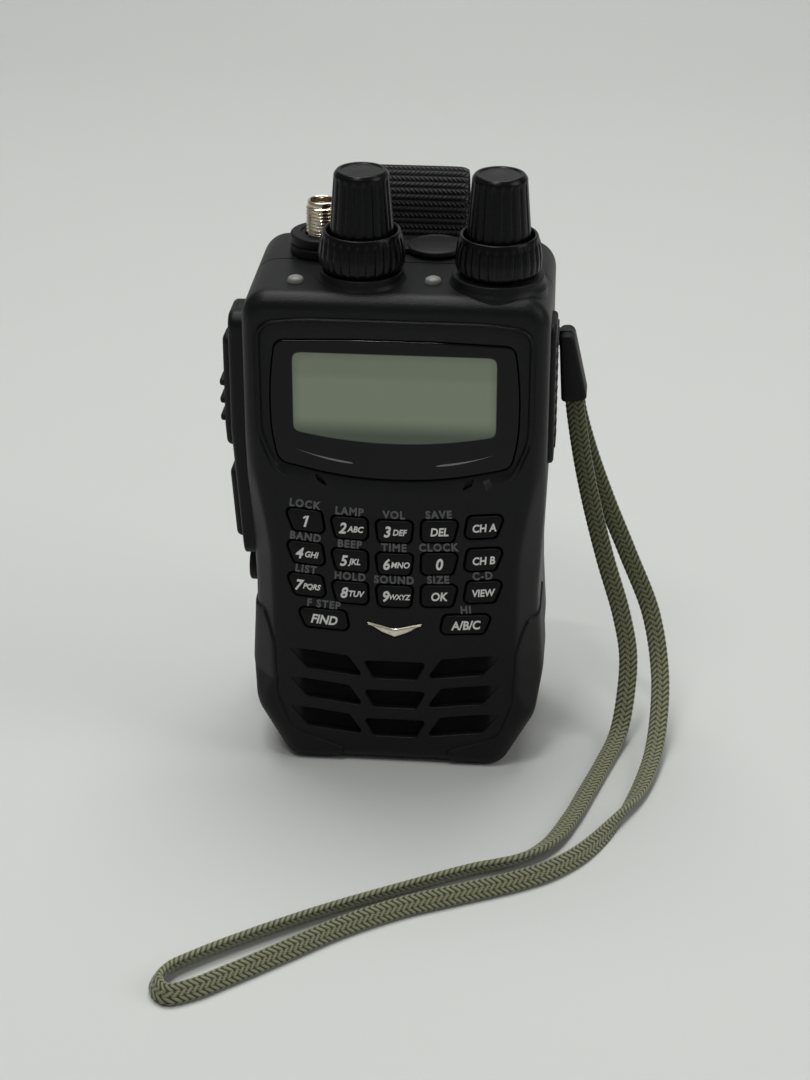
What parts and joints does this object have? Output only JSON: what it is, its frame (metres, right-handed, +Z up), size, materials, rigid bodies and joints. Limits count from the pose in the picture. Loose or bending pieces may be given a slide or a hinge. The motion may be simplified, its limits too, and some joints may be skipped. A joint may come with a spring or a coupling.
{
  "type": "handheld aviation radio",
  "caption": "Handheld aviation receiver with a display, keypad, speaker grille, two pairs of stacked knobs, an antenna socket, a hand strap and a braided wrist lanyard.",
  "frame": {"origin": "middle of the flat base, on the surface the radio stands on, halfway between the front face and the back of the battery", "axes": "+X to the right of someone reading the display, +Y from the display towards the battery, +Z up towards the knobs"},
  "size_m": [0.0929, 0.1429, 0.126],
  "materials": {
    "case_plastic": "fine-grained satin black moulding",
    "soft_rubber": "matt black rubber",
    "knob_rubber": "satin black, ribbed",
    "key_silicone": "matt black silicone with white legends",
    "lens": "gloss black printed window",
    "lcd": "grey-green liquid crystal panel",
    "champagne_trim": "satin champagne plating",
    "plated_brass": "nickel-plated brass",
    "steel": "plain",
    "circuit_board": "green solder mask",
    "light_diffuser": "translucent grey",
    "cell_wrap": "blue heat-shrink sleeve",
    "black_webbing": "ribbed black webbing",
    "olive_braid": "olive flat tubular braid"
  },
  "bodies": {
    "radio": {"front_case": "case_plastic", "rear_case": "case_plastic", "battery_case": "case_plastic", "side_key_frame": "case_plastic", "strap_anchor_top": "case_plastic", "strap_anchor_low": "case_plastic", "strap_lug": "case_plastic", "bumper_left": "soft_rubber", "bumper_right": "soft_rubber", "side_grip": "soft_rubber", "antenna_seat": "soft_rubber", "lanyard_cap": "soft_rubber", "keypad_mat": "key_silicone", "display_lens": "lens", "lcd_panel": "lcd", "chevron_trim": "champagne_trim", "antenna_connector": "plated_brass", "encoder_a": "steel", "encoder_b": "steel", "ear_jack": "steel", "power_jack": "steel", "case_screw_1": "steel", "case_screw_2": "steel", "case_screw_3": "steel", "case_screw_4": "steel", "speaker": "steel", "main_board": "circuit_board", "radio_board": "circuit_board", "status_light_left": "light_diffuser", "status_light_right": "light_diffuser", "battery_cell": "cell_wrap", "hand_strap": "black_webbing", "lanyard_cord": "olive_braid"},
    "key_1": {"key_1": "key_silicone"},
    "key_2": {"key_2": "key_silicone"},
    "key_3": {"key_3": "key_silicone"},
    "key_clear": {"key_clear": "key_silicone"},
    "key_main_band": {"key_main_band": "key_silicone"},
    "key_4": {"key_4": "key_silicone"},
    "key_5": {"key_5": "key_silicone"},
    "key_6": {"key_6": "key_silicone"},
    "key_0": {"key_0": "key_silicone"},
    "key_sub_band": {"key_sub_band": "key_silicone"},
    "key_7": {"key_7": "key_silicone"},
    "key_8": {"key_8": "key_silicone"},
    "key_9": {"key_9": "key_silicone"},
    "key_enter": {"key_enter": "key_silicone"},
    "key_spectrum": {"key_spectrum": "key_silicone"},
    "key_scan": {"key_scan": "key_silicone"},
    "key_mode": {"key_mode": "key_silicone"},
    "side_key_upper": {"side_key_upper": "soft_rubber"},
    "side_key_lower": {"side_key_lower": "soft_rubber"},
    "ring_knob_a": {"ring_knob_a": "knob_rubber"},
    "ring_knob_b": {"ring_knob_b": "knob_rubber"},
    "dial_knob_a": {"dial_knob_a": "knob_rubber"},
    "dial_knob_b": {"dial_knob_b": "knob_rubber"},
    "jack_cover": {"jack_cover": "soft_rubber"},
    "power_cover": {"power_cover": "soft_rubber"},
    "battery_latch": {"battery_latch": "case_plastic"}
  },
  "joints": [
    {"name": "key_1_press", "type": "slide", "parent": "radio", "child": "key_1", "axis": [0, 1, 0], "range_m": [0, 0.0006], "stiffness_N_per_m": 900},
    {"name": "key_2_press", "type": "slide", "parent": "radio", "child": "key_2", "axis": [0, 1, 0], "range_m": [0, 0.0006], "stiffness_N_per_m": 900},
    {"name": "key_3_press", "type": "slide", "parent": "radio", "child": "key_3", "axis": [0, 1, 0], "range_m": [0, 0.0006], "stiffness_N_per_m": 900},
    {"name": "key_clear_press", "type": "slide", "parent": "radio", "child": "key_clear", "axis": [0, 1, 0], "range_m": [0, 0.0006], "stiffness_N_per_m": 900},
    {"name": "key_main_band_press", "type": "slide", "parent": "radio", "child": "key_main_band", "axis": [0, 1, 0], "range_m": [0, 0.0006], "stiffness_N_per_m": 900},
    {"name": "key_4_press", "type": "slide", "parent": "radio", "child": "key_4", "axis": [0, 1, 0], "range_m": [0, 0.0006], "stiffness_N_per_m": 900},
    {"name": "key_5_press", "type": "slide", "parent": "radio", "child": "key_5", "axis": [0, 1, 0], "range_m": [0, 0.0006], "stiffness_N_per_m": 900},
    {"name": "key_6_press", "type": "slide", "parent": "radio", "child": "key_6", "axis": [0, 1, 0], "range_m": [0, 0.0006], "stiffness_N_per_m": 900},
    {"name": "key_0_press", "type": "slide", "parent": "radio", "child": "key_0", "axis": [0, 1, 0], "range_m": [0, 0.0006], "stiffness_N_per_m": 900},
    {"name": "key_sub_band_press", "type": "slide", "parent": "radio", "child": "key_sub_band", "axis": [0, 1, 0], "range_m": [0, 0.0006], "stiffness_N_per_m": 900},
    {"name": "key_7_press", "type": "slide", "parent": "radio", "child": "key_7", "axis": [0, 1, 0], "range_m": [0, 0.0006], "stiffness_N_per_m": 900},
    {"name": "key_8_press", "type": "slide", "parent": "radio", "child": "key_8", "axis": [0, 1, 0], "range_m": [0, 0.0006], "stiffness_N_per_m": 900},
    {"name": "key_9_press", "type": "slide", "parent": "radio", "child": "key_9", "axis": [0, 1, 0], "range_m": [0, 0.0006], "stiffness_N_per_m": 900},
    {"name": "key_enter_press", "type": "slide", "parent": "radio", "child": "key_enter", "axis": [0, 1, 0], "range_m": [0, 0.0006], "stiffness_N_per_m": 900},
    {"name": "key_spectrum_press", "type": "slide", "parent": "radio", "child": "key_spectrum", "axis": [0, 1, 0], "range_m": [0, 0.0006], "stiffness_N_per_m": 900},
    {"name": "key_scan_press", "type": "slide", "parent": "radio", "child": "key_scan", "axis": [0, 1, 0], "range_m": [0, 0.0006], "stiffness_N_per_m": 900},
    {"name": "key_mode_press", "type": "slide", "parent": "radio", "child": "key_mode", "axis": [0, 1, 0], "range_m": [0, 0.0006], "stiffness_N_per_m": 900},
    {"name": "side_key_upper_press", "type": "slide", "parent": "radio", "child": "side_key_upper", "axis": [1, 0, 0], "range_m": [0, 0.0008], "stiffness_N_per_m": 900},
    {"name": "side_key_lower_press", "type": "slide", "parent": "radio", "child": "side_key_lower", "axis": [1, 0, 0], "range_m": [0, 0.0008], "stiffness_N_per_m": 900},
    {"name": "ring_knob_a_turn", "type": "hinge", "parent": "radio", "child": "ring_knob_a", "pos_m": [-0.0072, -0.0082, 0.11], "axis": [0, 0, 1], "continuous": true},
    {"name": "dial_knob_a_turn", "type": "hinge", "parent": "radio", "child": "dial_knob_a", "pos_m": [-0.0072, -0.0082, 0.12], "axis": [0, 0, 1], "range_deg": [-150, 150]},
    {"name": "ring_knob_b_turn", "type": "hinge", "parent": "radio", "child": "ring_knob_b", "pos_m": [0.0194, -0.0085, 0.11], "axis": [0, 0, 1], "continuous": true},
    {"name": "dial_knob_b_turn", "type": "hinge", "parent": "radio", "child": "dial_knob_b", "pos_m": [0.0194, -0.0085, 0.12], "axis": [0, 0, 1], "range_deg": [-150, 150]},
    {"name": "jack_cover_open", "type": "hinge", "parent": "radio", "child": "jack_cover", "pos_m": [-0.0037, 0.0083, 0.1046], "axis": [0, -1, 0], "range_deg": [0, 110]},
    {"name": "power_cover_open", "type": "hinge", "parent": "radio", "child": "power_cover", "pos_m": [-0.0295, -0.0004, 0.0386], "axis": [0, 0, -1], "range_deg": [0, 95]},
    {"name": "battery_latch_slide", "type": "slide", "parent": "radio", "child": "battery_latch", "axis": [0, 0, 1], "range_m": [0, 0.0025], "stiffness_N_per_m": 400}
  ]
}
